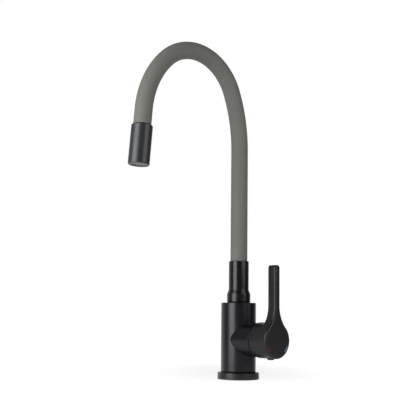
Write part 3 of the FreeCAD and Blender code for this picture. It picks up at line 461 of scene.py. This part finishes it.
# Surround: white to the eye and in reflections, dimmer as a light on the object. Round a spot behind the tap
# a share of the floor is plain paint, so that the shadow shows there; that paint renders darker than the
# white glow, so the ellipse round the spot is also painted shade.
white = (1.0, 1.0, 1.0, 1.0)
surround = {
    "seen": 1.0, "fill": 0.25,
    "floorSize": 8.0, "floorDrop": 0.0002, "floorTone": (0.80, 0.80, 0.80, 1.0), "floorGlow": 1.02,
    "shadeShare": 0.22, "shadeBearing": 180.0, "shadeDistance": 0.14, "shadeReach": (0.15, 0.28),
}


def seenDirectly(at):  # 1 for what the eye, a reflection or glass sees, 0 for light on the object
    rays = [at.node("ShaderNodeLightPath", out="Is %s Ray" % ray)
            for ray in ("Camera", "Glossy", "Transmission")]
    return at.maths("MINIMUM", sum(rays), 1.0)


def vectorMaths(at, operation, vectors, out):
    return at.node("ShaderNodeVectorMath", {"operation": operation}, dict(enumerate(vectors)), out)


def ease(at, value, start, end, low, high):  # smoothly from low at start to high at end
    limits = {"Value": value, "From Min": start, "From Max": end, "To Min": low, "To Max": high}
    return at.node("ShaderNodeMapRange", {"interpolation_type": "SMOOTHSTEP"}, limits, "Result")


def surroundWorld(name, look):
    made = bpy.data.worlds.new(name)
    made.use_nodes = True
    made.node_tree.nodes.clear()
    at = Wire(made.node_tree)
    seen, fill = [at.node("ShaderNodeBackground", sockets={"Color": white, "Strength": strength})
                  for strength in (look["seen"], look["fill"])]
    both = at.node("ShaderNodeMixShader", sockets={0: seenDirectly(at), 1: fill, 2: seen})
    at.node("ShaderNodeOutputWorld", sockets={"Surface": both})
    return made


def floorFinish(name, look):
    made, at = newFinish(name)
    inReaches = at.node("ShaderNodeMapping", {"vector_type": "TEXTURE"}, {  # from the spot, in reaches
        "Vector": objectPlace(at),
        "Location": stageSpot(look["shadeBearing"], look["shadeDistance"], 0.0),
        "Rotation": (0.0, 0.0, math.radians(camera["bearing"])),
        "Scale": (*look["shadeReach"], 1.0),
    }, "Vector")
    fromSpot = vectorMaths(at, "LENGTH", [inReaches], "Value")
    # painted shade: the share of paint, most at the spot and none one reach away
    shade = ease(at, fromSpot, 0.0, 1.0, look["shadeShare"], 0.0)
    paint = at.node("ShaderNodeBsdfDiffuse", sockets={"Color": look["floorTone"]})
    glow = at.node("ShaderNodeEmission", sockets={"Color": white, "Strength": look["floorGlow"]})
    glowShare = seenDirectly(at) * (1 - shade)
    both = at.node("ShaderNodeMixShader", sockets={0: glowShare, 1: paint, 2: glow})
    at.node("ShaderNodeOutputMaterial", sockets={"Surface": both})
    return made


def stagePiece(name, points, faces, finish):
    made = bpy.data.meshes.new(name)
    made.from_pydata(points, [], faces)
    made.materials.append(finish)
    piece = bpy.data.objects.new(name, made)
    bpy.context.scene.collection.objects.link(piece)
    piece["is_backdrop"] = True
    return piece


bpy.context.scene.world = surroundWorld("surround", surround)
half, low = surround["floorSize"] / 2, -surround["floorDrop"]
floorCorners = [(-half, -half, low), (half, -half, low), (half, half, low), (-half, half, low)]
stagePiece("floor", floorCorners, [(0, 1, 2, 3)], floorFinish("paleFloor", surround))

# Screens for reflections only, a sweep round the room and a canopy over it: each is a profile of distance
# and height carried round the tap's axis. The cloth is dark, but pale by the tap, and it glows in two
# patches behind the tap: about a bearing, from one cosine of the angle away to the next, up to a strength.
room = {"radius": 1.85, "height": 2.25, "bevel": 0.15, "lift": 0.0002,
        "sweepHole": 0.03, "canopyHole": 0.01, "steps": 96}
profiles = {
    "sweep": ((room["sweepHole"], room["lift"]), (room["radius"] - room["bevel"], room["lift"]),
              (room["radius"], room["bevel"]), (room["radius"], room["height"])),
    "canopy": ((room["canopyHole"], room["height"]), (room["radius"], room["height"])),
}
cloth = {"pale": (0.90, 0.90, 0.90), "dark": (0.05, 0.05, 0.055), "paleTo": 0.32, "darkFrom": 0.95,
         "patches": ((-156.0, 0.35, 0.90, 0.66), (152.0, 0.86, 0.97, 0.36))}


def clothFinish(name, look):
    made, at = newFinish(name)
    place = objectPlace(at)
    fromTap = vectorMaths(at, "LENGTH", [place], "Value")
    fade = ease(at, fromTap, look["paleTo"], look["darkFrom"], 0.0, 1.0)
    tone = mixTone(at, fade, look["pale"], look["dark"])
    weave = at.node("ShaderNodeBsdfDiffuse", sockets={"Color": tone})
    heading = vectorMaths(at, "NORMALIZE", [place], "Vector")
    patches = []
    for bearing, start, full, strength in look["patches"]:
        facing = vectorMaths(at, "DOT_PRODUCT", [heading, stageSpot(bearing, 1.0, 0.0)], "Value")
        patches.append(ease(at, facing, start, full, 0.0, strength))
    glow = at.node("ShaderNodeEmission", sockets={"Color": sum(patches), "Strength": 1.0})
    both = at.node("ShaderNodeAddShader", sockets={0: weave, 1: glow})
    at.node("ShaderNodeOutputMaterial", sockets={"Surface": both})
    return made


darkCloth = clothFinish("darkCloth", cloth)
turn = np.linspace(0, 2 * np.pi, room["steps"])[:, None]
for name, profile in profiles.items():
    away, height = np.array(profile).T
    points = np.stack([away * np.sin(turn), -away * np.cos(turn), height + 0 * turn], -1)
    row, column = np.meshgrid(np.arange(room["steps"] - 1), np.arange(len(away) - 1), indexing="ij")
    corner = (row * len(away) + column).ravel()
    faces = np.stack([corner, corner + 1, corner + len(away) + 1, corner + len(away)], -1)
    screen = stagePiece(name, points.reshape(-1, 3), faces.tolist(), darkCloth)
    screen.visible_camera = screen.visible_diffuse = False
    screen.visible_transmission = screen.visible_shadow = False

bpy.context.scene.view_settings.view_transform = "Standard"
print("stage: a camera,", len(lamps), "lamps, a floor and", len(profiles), "screens")

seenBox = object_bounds()
cadSize, seenSize = [[round(high - low, 4) for low, high in zip(*box)] for box in (cadBox, seenBox)]
print("size:", cadSize, "to", seenSize)
